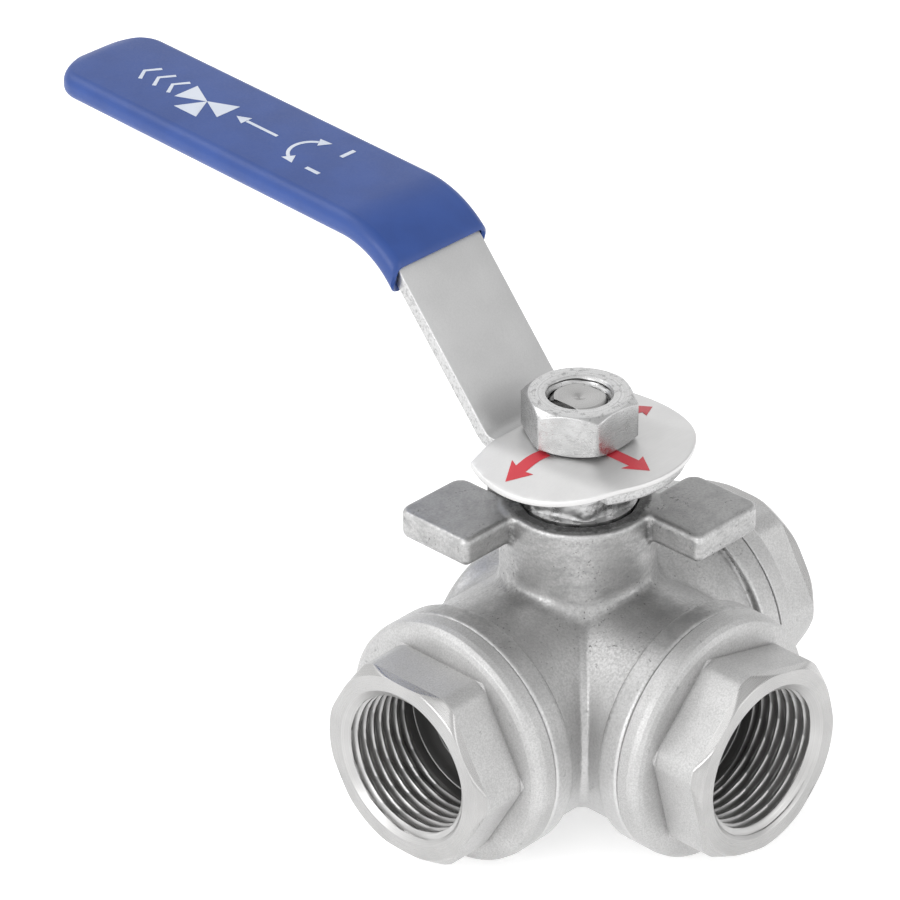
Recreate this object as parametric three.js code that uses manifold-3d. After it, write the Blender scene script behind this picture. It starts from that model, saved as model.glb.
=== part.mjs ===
/**
 * Three way ball valve with three 3/4 inch female pipe threads, a T bored ball and a cranked lever.
 *
 * Millimetres, +Z up. The origin is where the three port axes meet. The run goes along X, the branch
 * points to -Y, the stem turns about Z, and the lever points to +Y in the rest position, in which the
 * ball joins all three ports.
 */
import * as THREE from 'three';
import Module from 'manifold-3d';
import { mergeVertices } from 'three/addons/utils/BufferGeometryUtils.js';

// ---------------------------------------------------------------- driving dimensions
const ROUND = 36;                 // facets round a large circle
const ROUND_SMALL = 24;           // facets round a small circle
const GAP = 0.3;                  // clearance between separate pieces

const THREAD_MAJOR_R = 13.22;     // 3/4 inch pipe thread, 26.44 mm over the crests
const THREAD_MINOR_R = 12.06;
const MOUTH_R = 13.7;             // chamfered mouth of each threaded socket
const PORT_FACE = 42;             // origin to each port's end face, 84 mm face to face
const SOCKET_FLOOR = 26;          // where the threaded socket ends

const BALL_R = 16;
const BALL_BORE_R = 7.5;
const SEAT_BALL_R = BALL_R + 0.25;
const SEAT_OUTER_R = 11.2;
const SEAT_POCKET_R = SEAT_OUTER_R + GAP;
const SEAT_BACK = 18;
const BLIND_SEAT_BACK = 16.9;
const FLOW_R = 8;

const CAVITY_R = 16.6;            // bore that takes the ball and the cap spigots
const ARM_R = 20;                 // cast arms of the body
const ARM_RING_R = 21.3;          // machined ring at each arm's end
const ARM_RING_START = 23.8;
const ARM_END = 28;
const RABBET = { radius: 19.3, deep: 1.2 };   // holds the gasket in the end of each arm
const CAP_NOSE = { radius: 12.9, end: 13.2, step: 16.8 };   // innermost nose of an end cap
const BLIND_BOSS_R = 16;
const BLIND_BOSS_END = 19.8;

const NECK_R = 13;
const NECK_TOP = 33.2;
const NECK_FLARE = [[16, 16.5], [14.6, 18.4], [13.5, 20.6]];   // radius and height where it meets the arms
const NECK_STEPS = [[8.3, 10, 20.1], [6.2, 20.1, 22.3], [9, 22.3, 28.3], [10, 28.3, 32.6]];   // bore
const LUG = { near: 3, far: 18.6, stop: 8.5, tip: 23.5, bottom: 28.3, corner: 2.4 };

const HEX_FLATS = 32;             // spanner size of the end caps
const HEX_CORNER_R = 17.8;
const CAP_FACE_R = 16.3;
const HEX_START = ARM_END + 4.4;  // where the hexagon stands on the cap's flange
const BRANCH_HEX_TILT = 15;       // degrees that the branch cap stopped short of level

const STEM_R = 5.9;
const STEM_COLLAR_R = 7.6;
const TONGUE = { thick: 5.6, width: 13, bottom: 12.2, top: 16.9 };
const STEM_SHOULDER = 38.3;       // where the round shaft becomes the threaded double-D
const STEM_TOP = 51.8;
const STUD_R = 5;
const STUD_FLAT = 3.5;            // axis to each flat of the double-D
const KEY_HOLE = { radius: STUD_R + 0.25, flat: STUD_FLAT + 0.25 };

const PACKING = { inner: 6.1, outer: 8.8, bottom: 22.45, pitch: 1.42, height: 1.3, rings: 3 };
const GLAND = { bottom: 28.6, hexBottom: 33.5, top: 37.6, flats: 16.6, bore: 6.3 };

const STOP_PLATE = { bottom: 38.4, thick: 2, half: 8.2, frontR: 11 };
const STOP_TAB = { inner: 13.3, outer: 15.2, bottom: 29.6 };   // curved round the neck
const LEVER = { bottom: 41.3, thick: 2.4, width: 19.2, endR: 17.7, tip: 112.6 };
const LEVER_SLOPE = THREE.MathUtils.degToRad(49.7);
const LEVER_FOLD = { y: 11.9, radius: 3 };      // where the base and the sloping arm meet, on the mid line
const LEVER_CROOK_R = 17;
const HANDLE = { y: 70, z: 72.8, rise: THREE.MathUtils.degToRad(2.8) };   // a mid line point of the handle
const DISC = { bottom: 43.8, thick: 1, radius: 19, chord: 8.7, flatHalf: 11 };
const DISC_DROOP = { left: 20, right: 11.5 };   // degrees that each side of the disc is pressed down
const NUT = { bottom: 44.9, top: 52.4, flats: 17, faceR: 8.4, bore: 5.3 };
const GRIP = { start: 30.5, tip: 114.6, thick: 4.8, width: 22.2, corner: 4.5, endR: 17 };

// ---------------------------------------------------------------- materials
const finish = (color, roughness, metalness) => () =>
  new THREE.MeshStandardMaterial({ color, roughness, metalness });
const castSteel = finish(0xb4b3b0, 0.5, 0.9);
const turnedSteel = finish(0xcfcecb, 0.25, 1);
const leverSteel = finish(0xc3c3c1, 0.4, 0.9);
const discSteel = finish(0xd9d9d6, 0.4, 0.9);
const ptfe = finish(0xf0eee6, 0.55, 0);
const rubber = finish(0x1c1c1c, 0.8, 0);
const vinyl = finish(0x3f58a0, 0.45, 0);

// ---------------------------------------------------------------- solids and booleans
const wasm = await Module();
wasm.setup();

/** Turns a closed geometry into a solid, with shared corners merged and collapsed faces dropped. */
function solid(geometry) {
  const bare = geometry.clone();
  bare.deleteAttribute('normal');
  bare.deleteAttribute('uv');
  const merged = mergeVertices(bare, 1e-4);
  const corners = Array.from(merged.index.array);
  const kept = [];
  for (let i = 0; i < corners.length; i += 3) {
    const [a, b, c] = corners.slice(i, i + 3);
    if (a !== b && b !== c && c !== a) kept.push(a, b, c);
  }
  return new wasm.Manifold(new wasm.Mesh({
    numProp: 3,
    vertProperties: new Float32Array(merged.attributes.position.array),
    triVerts: new Uint32Array(kept),
  }));
}

/** Turns a solid back into a geometry with flat faces. */
function geometryOf(body) {
  const mesh = body.getMesh();
  const geometry = new THREE.BufferGeometry();
  geometry.setAttribute('position', new THREE.BufferAttribute(new Float32Array(mesh.vertProperties), 3));
  geometry.setIndex(new THREE.BufferAttribute(new Uint32Array(mesh.triVerts), 1));
  geometry.computeVertexNormals();
  return geometry;
}

/**
 * Spins a profile of [radius, height] pairs about Z. The pairs run anticlockwise as seen with the
 * radius to the right and the height up, and the profile starts and ends on the axis or is a loop.
 */
function turned(profile, segments = ROUND) {
  const loop = profile.map(([radius, height]) => new THREE.Vector2(radius, height));
  const startsOnAxis = profile[0][0] === 0;
  if (!startsOnAxis) loop.push(loop[0].clone());
  const geometry = new THREE.LatheGeometry(loop, segments);
  geometry.rotateX(Math.PI / 2);
  return solid(geometry);
}

/** A plain round bar about Z. */
function bar(radius, bottom, top, segments = ROUND) {
  return turned([[0, bottom], [radius, bottom], [radius, top], [0, top]], segments);
}

/** A flat ring about Z. */
function ring(inner, outer, bottom, top, segments = ROUND_SMALL) {
  return turned([[inner, bottom], [outer, bottom], [outer, top], [inner, top]], segments);
}

/** A block given by its lowest and highest corners. */
function block(low, high) {
  const size = high.map((value, i) => value - low[i]);
  const centre = high.map((value, i) => (value + low[i]) / 2);
  return solid(new THREE.BoxGeometry(...size).translate(...centre));
}

/** A flat outline of [x, y] pairs raised along Z. */
function raised(outline, bottom, top) {
  const shape = new THREE.Shape(outline.map(([x, y]) => new THREE.Vector2(x, y)));
  const geometry = new THREE.ExtrudeGeometry(shape, { depth: top - bottom, bevelEnabled: false });
  return solid(geometry.translate(0, 0, bottom));
}

/** A hexagonal bar about Z. One flat faces the given angle, in degrees. */
function hexBar(flats, bottom, top, flatAngle = 90) {
  const cornerR = flats / Math.sqrt(3);
  const outline = [];
  for (let i = 0; i < 6; i += 1) {
    const angle = THREE.MathUtils.degToRad(flatAngle + 30 + 60 * i);
    outline.push([cornerR * Math.cos(angle), cornerR * Math.sin(angle)]);
  }
  return raised(outline, bottom, top);
}

/** Points of an arc about a centre, from one angle to another, both ends included, in degrees. */
function arc(cx, cy, radius, from, to, steps) {
  const points = [];
  for (let i = 0; i <= steps; i += 1) {
    const angle = THREE.MathUtils.degToRad(from + (to - from) * i / steps);
    points.push([cx + radius * Math.cos(angle), cy + radius * Math.sin(angle)]);
  }
  return points;
}

/** The outline of a rectangle with round corners. */
function roundedRectangle(x0, y0, x1, y1, radius, steps = 4) {
  return [
    ...arc(x1 - radius, y0 + radius, radius, -90, 0, steps),
    ...arc(x1 - radius, y1 - radius, radius, 0, 90, steps),
    ...arc(x0 + radius, y1 - radius, radius, 90, 180, steps),
    ...arc(x0 + radius, y0 + radius, radius, 180, 270, steps),
  ];
}

const joined = (...bodies) => bodies.reduce((sum, body) => sum.add(body));
const cut = (body, ...tools) => tools.reduce((rest, tool) => rest.subtract(tool), body);

/** A solid built along +Z, laid along the direction of a port. */
const alongPort = {
  left: (body) => body.rotate([0, -90, 0]),
  right: (body) => body.rotate([0, 90, 0]),
  branch: (body) => body.rotate([90, 0, 0]),
  blind: (body) => body.rotate([-90, 0, 0]),
};

/** The keyed hole that fits the double-D stud of the stem. */
function keyHole(bottom, top) {
  const flatSide = block([-KEY_HOLE.flat, -10, bottom], [KEY_HOLE.flat, 10, top]);
  return bar(KEY_HOLE.radius, bottom, top, ROUND_SMALL).intersect(flatSide);
}

// ---------------------------------------------------------------- body casting
/** One cast arm with its machined end ring, rabbeted for the gasket once it is bored. */
function bodyArm() {
  return turned([[0, 0], [ARM_R, 0], [ARM_R, ARM_RING_START], [ARM_RING_R, ARM_RING_START + 0.5],
    [ARM_RING_R, ARM_END], [0, ARM_END]]);
}

/** The bore of one arm, wider at its mouth where the gasket lies. */
function armBore() {
  const mouth = ARM_END + 1;
  const rabbetFloor = ARM_END - RABBET.deep;
  return turned([[0, 0], [CAVITY_R, 0], [CAVITY_R, rabbetFloor], [RABBET.radius, rabbetFloor],
    [RABBET.radius, mouth], [0, mouth]]);
}

/** The neck, flared into the arms below. */
function neck() {
  const edge = 0.4;
  return turned([[0, 0], [NECK_FLARE[0][0], 0], ...NECK_FLARE, [NECK_R, 23.4],
    [NECK_R, NECK_TOP - edge], [NECK_R - edge, NECK_TOP], [0, NECK_TOP]]);
}

/** The two cast lugs that stop the lever, mirror images across the plane x = y. */
function stopLugs() {
  const { near, far, stop, tip, bottom, corner } = LUG;
  const left = raised(roundedRectangle(-tip, near, -stop, far, corner), bottom, NECK_TOP);
  const right = raised(roundedRectangle(near, -tip, far, -stop, corner), bottom, NECK_TOP);
  return joined(left, right);
}

/** The stepped bore of the neck: washer pocket, stem bore, packing chamber and gland thread. */
function neckBore() {
  const walls = NECK_STEPS.flatMap(([radius, low, high]) => [[radius, low], [radius, high]]);
  return turned([[0, NECK_STEPS[0][1]], ...walls, [10.6, NECK_TOP + 1], [0, NECK_TOP + 1]], ROUND_SMALL + 4);
}

function valveBody() {
  const arms = ['left', 'right', 'branch'].map((port) => alongPort[port](bodyArm()));
  const bores = ['left', 'right', 'branch'].map((port) => alongPort[port](armBore()));
  const bossEdge = 1.5;
  const boss = alongPort.blind(turned([[0, 0], [BLIND_BOSS_R, 0], [BLIND_BOSS_R, BLIND_BOSS_END - bossEdge],
    [BLIND_BOSS_R - bossEdge, BLIND_BOSS_END], [0, BLIND_BOSS_END]]));
  const ballRoom = solid(new THREE.SphereGeometry(CAVITY_R, ROUND, ROUND / 2));
  const blindPocket = alongPort.blind(bar(SEAT_POCKET_R, 8, BLIND_SEAT_BACK + GAP, ROUND_SMALL));
  return cut(joined(...arms, boss, neck(), stopLugs()), ...bores, ballRoom, blindPocket, neckBore());
}

// ---------------------------------------------------------------- end caps, gaskets and seats
/** The hexagon, its corners turned down and chamfered towards the port's face. */
function capHexagon(flatAngle) {
  const envelope = turned([[0, HEX_START], [HEX_CORNER_R, HEX_START], [HEX_CORNER_R, PORT_FACE - 1.7],
    [CAP_FACE_R, PORT_FACE], [0, PORT_FACE]]);
  return hexBar(HEX_FLATS, HEX_START, PORT_FACE, flatAngle).intersect(envelope);
}

/** Nose, spigot and the flange with its rounded shoulder, from the ball outwards. */
function capShank() {
  const flange = ARM_END + GAP;
  const { radius, end, step } = CAP_NOSE;
  return turned([[0, end], [radius, end], [radius, step], [CAVITY_R - GAP, step],
    [CAVITY_R - GAP, flange], [ARM_RING_R, flange], [ARM_RING_R, flange + 2.3], [20.8, flange + 3.3],
    [19.5, flange + 4.1], [17.9, HEX_START + 0.1], [15.6, HEX_START + 0.1], [15.6, PORT_FACE - 1],
    [0, PORT_FACE - 1]]);
}

/** Seat pocket, flow bore and threaded socket with a chamfered mouth. */
function capBore() {
  const chamfer = MOUTH_R - THREAD_MINOR_R;
  return turned([[0, 10], [SEAT_POCKET_R, 10], [SEAT_POCKET_R, SEAT_BACK + GAP], [FLOW_R, SEAT_BACK + GAP],
    [FLOW_R, SOCKET_FLOOR], [THREAD_MAJOR_R - 0.3, SOCKET_FLOOR], [THREAD_MAJOR_R - 0.3, SOCKET_FLOOR + 1.6],
    [THREAD_MINOR_R, SOCKET_FLOOR + 2.2], [THREAD_MINOR_R, PORT_FACE - chamfer], [MOUTH_R, PORT_FACE],
    [MOUTH_R, PORT_FACE + 1], [0, PORT_FACE + 1]]);
}

function endCap(flatAngle) {
  return cut(joined(capShank(), capHexagon(flatAngle)), capBore());
}

function gasket() {
  return ring(CAVITY_R + GAP, RABBET.radius - GAP, ARM_END - 1.1, ARM_END + 0.1, ROUND);
}

/** A seat ring whose inner face is hollowed to the ball. */
function seat(back) {
  const steps = 5;
  const hollow = [];
  for (let i = 0; i <= steps; i += 1) {
    const radius = FLOW_R + (SEAT_OUTER_R - FLOW_R) * i / steps;
    hollow.push([radius, Math.sqrt(SEAT_BALL_R ** 2 - radius ** 2)]);
  }
  return turned([...hollow, [SEAT_OUTER_R, back], [FLOW_R, back]], ROUND_SMALL + 4);
}

// ---------------------------------------------------------------- ball and stem
/** The T bored ball, with a slot across its top for the stem. */
function ball() {
  const sphere = solid(new THREE.SphereGeometry(BALL_R, ROUND - 4, ROUND / 2 - 2));
  const bores = ['left', 'right', 'branch'].map(
    (port) => alongPort[port](bar(BALL_BORE_R, -0.5, BALL_R + 1, ROUND_SMALL)));
  const slotHalf = TONGUE.thick / 2 + GAP;
  const slot = block([-slotHalf, -BALL_R - 1, TONGUE.bottom - GAP], [slotHalf, BALL_R + 1, BALL_R + 1]);
  return cut(sphere, ...bores, slot);
}

/** Stem: tongue, blow-out collar, grooved shaft and double-D stud. */
function stem() {
  const shaft = turned([[0, TONGUE.top - 0.2], [STEM_COLLAR_R, TONGUE.top - 0.2], [STEM_COLLAR_R, 18.9],
    [STEM_R, 18.9], [STEM_R, 20.7], [4.65, 20.7], [4.65, 22], [STEM_R, 22], [STEM_R, STEM_SHOULDER],
    [0, STEM_SHOULDER]], ROUND_SMALL);
  const stud = turned([[0, STEM_SHOULDER - 1], [STUD_R, STEM_SHOULDER - 1], [STUD_R, STEM_TOP - 0.8],
    [STUD_R - 0.8, STEM_TOP], [0, STEM_TOP]], ROUND_SMALL);
  const flats = block([-STUD_FLAT, -10, STEM_SHOULDER - 2], [STUD_FLAT, 10, STEM_TOP + 1]);
  const tongueBar = bar(STEM_COLLAR_R - 0.3, TONGUE.bottom, TONGUE.top, ROUND_SMALL);
  const tongueBlock = block([-TONGUE.thick / 2, -TONGUE.width / 2, TONGUE.bottom],
    [TONGUE.thick / 2, TONGUE.width / 2, TONGUE.top]);
  return joined(shaft, stud.intersect(flats), tongueBar.intersect(tongueBlock));
}

function thrustWasher() {
  return ring(6.15, 8, 19, 20);
}

/** Round section ring in the groove of the stem. */
function stemORing() {
  const section = arc(5.36, 21.35, 0.58, -90, 225, 7);
  return turned(section, ROUND_SMALL);
}

/** One chevron packing ring, counted from the bottom. */
function packingRing(index) {
  const bottom = PACKING.bottom + PACKING.pitch * index;
  const middle = (PACKING.inner + PACKING.outer) / 2;
  const rise = 0.45;
  return turned([[PACKING.inner, bottom], [middle, bottom + rise], [PACKING.outer, bottom],
    [PACKING.outer, bottom + PACKING.height - rise], [middle, bottom + PACKING.height],
    [PACKING.inner, bottom + PACKING.height - rise]], ROUND_SMALL);
}

/** The ring that the gland nut presses on the packing. */
function glandFollower() {
  const bottom = PACKING.bottom + PACKING.pitch * PACKING.rings;
  return ring(6.15, PACKING.outer, bottom + 0.1, GLAND.bottom - 0.2);
}

/** Threaded ring with a hexagonal head round the stem. */
function glandNut() {
  const threaded = bar(9.75, GLAND.bottom, GLAND.hexBottom + 0.1, ROUND_SMALL + 4);
  const headEnvelope = turned([[0, GLAND.hexBottom], [9.5, GLAND.hexBottom], [9.5, GLAND.top - 0.7],
    [8.3, GLAND.top], [0, GLAND.top]], ROUND_SMALL + 4);
  const head = hexBar(GLAND.flats, GLAND.hexBottom, GLAND.top, 80).intersect(headEnvelope);
  return cut(joined(threaded, head), bar(GLAND.bore, GLAND.bottom - 1, GLAND.top + 1, ROUND_SMALL));
}

// ---------------------------------------------------------------- lever and what turns with it
/** Keyed plate below the lever, with a curved tab bent down round the neck, between the two lugs. */
function travelStopPlate() {
  const { bottom, thick, half, frontR } = STOP_PLATE;
  const top = bottom + thick;
  const front = bar(frontR, bottom, top);
  const back = block([-half, 0, bottom], [half, STOP_TAB.outer, top]);
  const skirt = block([-half, 0, STOP_TAB.bottom], [half, STOP_TAB.outer, top]);
  const tab = skirt.subtract(bar(STOP_TAB.inner, 0, top + 1));
  const width = block([-half, -frontR, STOP_TAB.bottom], [half, STOP_TAB.outer, top]);
  const rim = bar(STOP_TAB.outer, STOP_TAB.bottom, top);
  const plate = joined(front, back, tab).intersect(width).intersect(rim);
  return cut(plate, keyHole(bottom - 1, top + 1));
}

/**
 * Side outline of the lever, as [y, z] pairs: base, sloping arm and handle, with the folds rounded.
 * The outline lies the same distance above and below the mid line.
 */
function leverOutline(halfThick) {
  const baseMid = LEVER.bottom + LEVER.thick / 2;
  const rise = Math.tan(HANDLE.rise);
  const steep = Math.tan(LEVER_SLOPE);
  const crookY = (HANDLE.z - rise * HANDLE.y - baseMid + steep * LEVER_FOLD.y) / (steep - rise);
  const crookZ = baseMid + steep * (crookY - LEVER_FOLD.y);
  const foldReach = LEVER_FOLD.radius * Math.tan(LEVER_SLOPE / 2);
  const crookReach = LEVER_CROOK_R * Math.tan((LEVER_SLOPE - HANDLE.rise) / 2);
  const fold = [LEVER_FOLD.y - foldReach, baseMid + LEVER_FOLD.radius];
  const crook = [crookY + crookReach * Math.cos(HANDLE.rise) + LEVER_CROOK_R * Math.sin(HANDLE.rise),
    crookZ + crookReach * Math.sin(HANDLE.rise) - LEVER_CROOK_R * Math.cos(HANDLE.rise)];
  const slopeDegrees = THREE.MathUtils.radToDeg(LEVER_SLOPE);
  const riseDegrees = THREE.MathUtils.radToDeg(HANDLE.rise);
  const nearEnd = -30;
  const farEnd = 130;
  const side = (offset) => [[nearEnd, baseMid + offset],
    ...arc(...fold, LEVER_FOLD.radius - offset, -90, -90 + slopeDegrees, 5),
    ...arc(...crook, LEVER_CROOK_R + offset, 90 + slopeDegrees, 90 + riseDegrees, 9),
    [farEnd, HANDLE.z + rise * (farEnd - HANDLE.y) + offset / Math.cos(HANDLE.rise)]];
  return [...side(-halfThick), ...side(halfThick).reverse()];
}

/** A strip with the lever's side outline, centred on the plane x = 0. */
function leverStrip(halfThick, width) {
  const shape = new THREE.Shape(leverOutline(halfThick).map(([y, z]) => new THREE.Vector2(y, z)));
  const geometry = new THREE.ExtrudeGeometry(shape, { depth: width, bevelEnabled: false });
  geometry.rotateY(Math.PI / 2);
  geometry.rotateX(Math.PI / 2);
  return solid(geometry.translate(-width / 2, 0, 0));
}

/** The closed end of a strip seen from above: an arc across it, its two corners rounded. */
function roundTip(half, tip, endR, cornerR) {
  const cornerX = half - cornerR;
  const toCorner = Math.sqrt((endR - cornerR) ** 2 - cornerX ** 2);
  const meets = THREE.MathUtils.radToDeg(Math.atan2(toCorner, cornerX));
  const cornerY = tip - endR + toCorner;
  return [...arc(cornerX, cornerY, cornerR, 0, meets, 3), ...arc(0, tip - endR, endR, meets, 180 - meets, 6),
    ...arc(-cornerX, cornerY, cornerR, 180 - meets, 180, 3)];
}

/** The steel lever, round about the stem and round at its tip. */
function handleLever() {
  const half = LEVER.width / 2;
  const endCorner = THREE.MathUtils.radToDeg(Math.acos(half / LEVER.endR));
  const tipCorner = 4;
  const plan = raised([...arc(0, 0, LEVER.endR, 180 + endCorner, 360 - endCorner, 12),
    ...roundTip(half, LEVER.tip, GRIP.endR, tipCorner)], LEVER.bottom - 1, HANDLE.z + 10);
  const strip = leverStrip(LEVER.thick / 2, LEVER.width);
  return cut(strip.intersect(plan), keyHole(LEVER.bottom - 1, LEVER.bottom + LEVER.thick + 1));
}

/** The vinyl sleeve, open towards the stem and closed over the lever's tip. */
function gripSleeve() {
  const half = GRIP.width / 2;
  const below = HANDLE.z - 30;
  const above = HANDLE.z + 15;
  const plan = raised([[-half, GRIP.start], [half, GRIP.start],
    ...roundTip(half, GRIP.tip, GRIP.endR, GRIP.corner)], below, above);
  const outer = leverStrip(GRIP.thick / 2, GRIP.width).intersect(plan);
  const roomHalf = LEVER.width / 2 + GAP;
  const roomPlan = raised([[-roomHalf, 0], [roomHalf, 0],
    ...roundTip(roomHalf, LEVER.tip + GAP, GRIP.endR, GRIP.corner)], below, above);
  const room = leverStrip(LEVER.thick / 2 + GAP, 2 * roomHalf).intersect(roomPlan);
  return cut(outer, room);
}

/** Thin flow direction disc, flat over the lever, its two sides pressed down a little. */
function directionDisc() {
  const { bottom, thick, radius, chord, flatHalf } = DISC;
  const reach = radius + 2;
  const leftDrop = (reach - flatHalf) * Math.tan(THREE.MathUtils.degToRad(DISC_DROOP.left));
  const rightDrop = (reach - flatHalf) * Math.tan(THREE.MathUtils.degToRad(DISC_DROOP.right));
  const under = [[-reach, bottom - leftDrop], [-flatHalf, bottom],
    [flatHalf, bottom], [reach, bottom - rightDrop]];
  const over = under.map(([x, z]) => [x, z + thick]).reverse();
  const side = new THREE.Shape([...under, ...over].map(([x, z]) => new THREE.Vector2(x, z)));
  const geometry = new THREE.ExtrudeGeometry(side, { depth: reach + chord, bevelEnabled: false });
  const sheet = solid(geometry.rotateX(Math.PI / 2).translate(0, chord, 0));
  const round = bar(radius, bottom - 10, bottom + 5);
  return cut(sheet.intersect(round), keyHole(bottom - 1, bottom + thick + 1));
}

/** Hexagonal stem nut with a chamfered top. */
function stemNut() {
  const { bottom, top, flats, faceR, bore } = NUT;
  const cornerR = flats / Math.sqrt(3);
  const drop = (cornerR - faceR) * Math.tan(THREE.MathUtils.degToRad(30));
  const envelope = turned([[0, bottom], [faceR, bottom], [cornerR, bottom + drop], [cornerR, top - drop],
    [faceR, top], [0, top]], ROUND);
  const hole = turned([[0, bottom - 1], [bore, bottom - 1], [bore, top - 0.7], [bore + 0.9, top + 0.2],
    [bore + 0.9, top + 1], [0, top + 1]], ROUND_SMALL);
  return cut(hexBar(flats, bottom, top).intersect(envelope), hole);
}

// ---------------------------------------------------------------- assembly
const valve = new THREE.Group();

/** Adds a named mesh to a group. */
function place(group, name, body, material) {
  const mesh = new THREE.Mesh(geometryOf(body), material());
  mesh.name = name;
  group.add(mesh);
}

/** A group whose +Z lies along a port. */
function portGroup(rotateX, rotateY) {
  const group = new THREE.Group();
  group.rotation.set(THREE.MathUtils.degToRad(rotateX), THREE.MathUtils.degToRad(rotateY), 0);
  valve.add(group);
  return group;
}

const ports = [
  { name: 'left', group: portGroup(0, -90), flatAngle: 0 },
  { name: 'right', group: portGroup(0, 90), flatAngle: 0 },
  { name: 'branch', group: portGroup(90, 0), flatAngle: 90 - BRANCH_HEX_TILT },
];
for (const { name, group, flatAngle } of ports) {
  place(group, `end_cap_${name}`, endCap(flatAngle), turnedSteel);
  place(group, `body_gasket_${name}`, gasket(), ptfe);
  place(group, `seat_${name}`, seat(SEAT_BACK), ptfe);
}
place(portGroup(-90, 0), 'seat_blind', seat(BLIND_SEAT_BACK), ptfe);

place(valve, 'body', valveBody(), castSteel);
place(valve, 'thrust_washer', thrustWasher(), ptfe);
for (let i = 0; i < PACKING.rings; i += 1) {
  place(valve, `packing_ring_${i + 1}`, packingRing(i), ptfe);
}
place(valve, 'gland_follower', glandFollower(), turnedSteel);
place(valve, 'gland_nut', glandNut(), turnedSteel);

place(valve, 'ball', ball(), turnedSteel);

const handle = new THREE.Group();
valve.add(handle);
place(handle, 'stem', stem(), turnedSteel);
place(handle, 'stem_o_ring', stemORing(), rubber);
place(handle, 'travel_stop_plate', travelStopPlate(), leverSteel);
place(handle, 'handle_lever', handleLever(), leverSteel);
place(handle, 'grip_sleeve', gripSleeve(), vinyl);
place(handle, 'direction_disc', directionDisc(), discSteel);
place(handle, 'stem_nut', stemNut(), turnedSteel);

export default valve;
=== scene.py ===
"""Looks of a three way ball valve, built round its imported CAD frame. Blender 4.5, metres, +Z up.

Pieces are modelled here in millimetres, from the sizes of the CAD nodes, and scaled to metres as
their meshes are made. The stop plate and the sealed rings keep their CAD meshes. The run is along
X, the branch points to -Y and the stem turns about Z.
"""
import math

import bmesh
import bpy
import numpy as np
from mathutils import Matrix, Vector


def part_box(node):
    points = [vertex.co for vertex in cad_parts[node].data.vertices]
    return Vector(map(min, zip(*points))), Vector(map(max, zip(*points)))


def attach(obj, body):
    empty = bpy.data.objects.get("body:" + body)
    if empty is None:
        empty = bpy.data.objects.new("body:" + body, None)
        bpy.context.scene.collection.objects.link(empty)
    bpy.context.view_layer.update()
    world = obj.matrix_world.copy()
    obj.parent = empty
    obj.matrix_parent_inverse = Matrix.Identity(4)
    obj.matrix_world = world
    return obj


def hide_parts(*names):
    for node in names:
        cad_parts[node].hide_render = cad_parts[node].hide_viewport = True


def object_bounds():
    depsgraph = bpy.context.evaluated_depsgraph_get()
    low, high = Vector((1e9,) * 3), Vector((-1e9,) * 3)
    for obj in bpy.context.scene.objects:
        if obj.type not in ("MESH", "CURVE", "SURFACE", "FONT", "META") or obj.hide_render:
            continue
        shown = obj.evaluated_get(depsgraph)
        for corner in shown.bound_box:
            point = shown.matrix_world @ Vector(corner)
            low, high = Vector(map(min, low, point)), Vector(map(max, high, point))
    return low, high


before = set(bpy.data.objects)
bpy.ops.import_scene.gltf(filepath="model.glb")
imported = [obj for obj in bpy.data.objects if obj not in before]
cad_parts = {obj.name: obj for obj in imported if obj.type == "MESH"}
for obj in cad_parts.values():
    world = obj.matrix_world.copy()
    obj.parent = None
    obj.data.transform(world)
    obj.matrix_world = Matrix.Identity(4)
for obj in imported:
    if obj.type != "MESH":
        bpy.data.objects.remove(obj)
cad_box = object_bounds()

MM = 0.001
TURN = 2 * math.pi
# Edges that turn by more than this, in degrees, stay crisp.
CREASE = 35
TURNED_CREASE = 40


def node_box(node):
    """Lowest and highest corner of a CAD node, in millimetres."""
    low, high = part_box(node)
    return np.array(low) / MM, np.array(high) / MM


# -------- sizes, in millimetres
BODY_LOW, BODY_HIGH = node_box("body")
CAP_LOW, CAP_HIGH = node_box("end_cap_left")
LEVER_LOW, LEVER_HIGH = node_box("handle_lever")
GRIP_LOW, GRIP_HIGH = node_box("grip_sleeve")
_, DISC_HIGH = node_box("direction_disc")
NUT_LOW, NUT_HIGH = node_box("stem_nut")
GLAND_LOW, GLAND_HIGH = node_box("gland_nut")
_, STEM_HIGH = node_box("stem")

PORT_FACE = -CAP_LOW[0]
RING_R = CAP_HIGH[2]
ARM_END = BODY_HIGH[0]
NECK_TOP = BODY_HIGH[2]
ARM_R = RING_R - 1.3
NECK_R = 13.0
BOSS_R = 16.0
BOSS_END = 19.8
CAVITY_R = 16.6
THREAD_MAJOR_R = 13.22
THREAD_MINOR_R = 12.06
THREAD_PITCH = 25.4 / 14
MOUTH_R = 13.7
SOCKET_FLOOR = 26.0
HEX_FLATS = 32.0
HEX_CORNER_R = 17.8
HEX_START = ARM_END + 4.5
CAP_FACE_R = 16.3
BRANCH_HEX_TILT = 15.0


# -------- meshes
def linked(name, data):
    """A new object with some data, in the scene."""
    obj = bpy.data.objects.new(name, data)
    bpy.context.scene.collection.objects.link(obj)
    return obj


def finish_mesh(mesh, materials, smooth_angle):
    """Adds materials and smooth shading. Edges that turn more than smooth_angle stay crisp."""
    for material in materials:
        mesh.materials.append(material)
    mesh.polygons.foreach_set("use_smooth", np.ones(len(mesh.polygons), bool))
    if smooth_angle is not None:
        mesh.set_sharp_from_angle(angle=math.radians(smooth_angle))


def add_mesh(name, verts, faces, materials, smooth_angle=None, material_index=None):
    """A new object from points in millimetres."""
    mesh = bpy.data.meshes.new(name)
    mesh.from_pydata((np.asarray(verts, float) * MM).tolist(), [], faces)
    if material_index is not None:
        mesh.polygons.foreach_set("material_index", np.asarray(material_index, np.int32))
    finish_mesh(mesh, materials, smooth_angle)
    mesh.validate()
    mesh.update()
    return linked(name, mesh)


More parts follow.
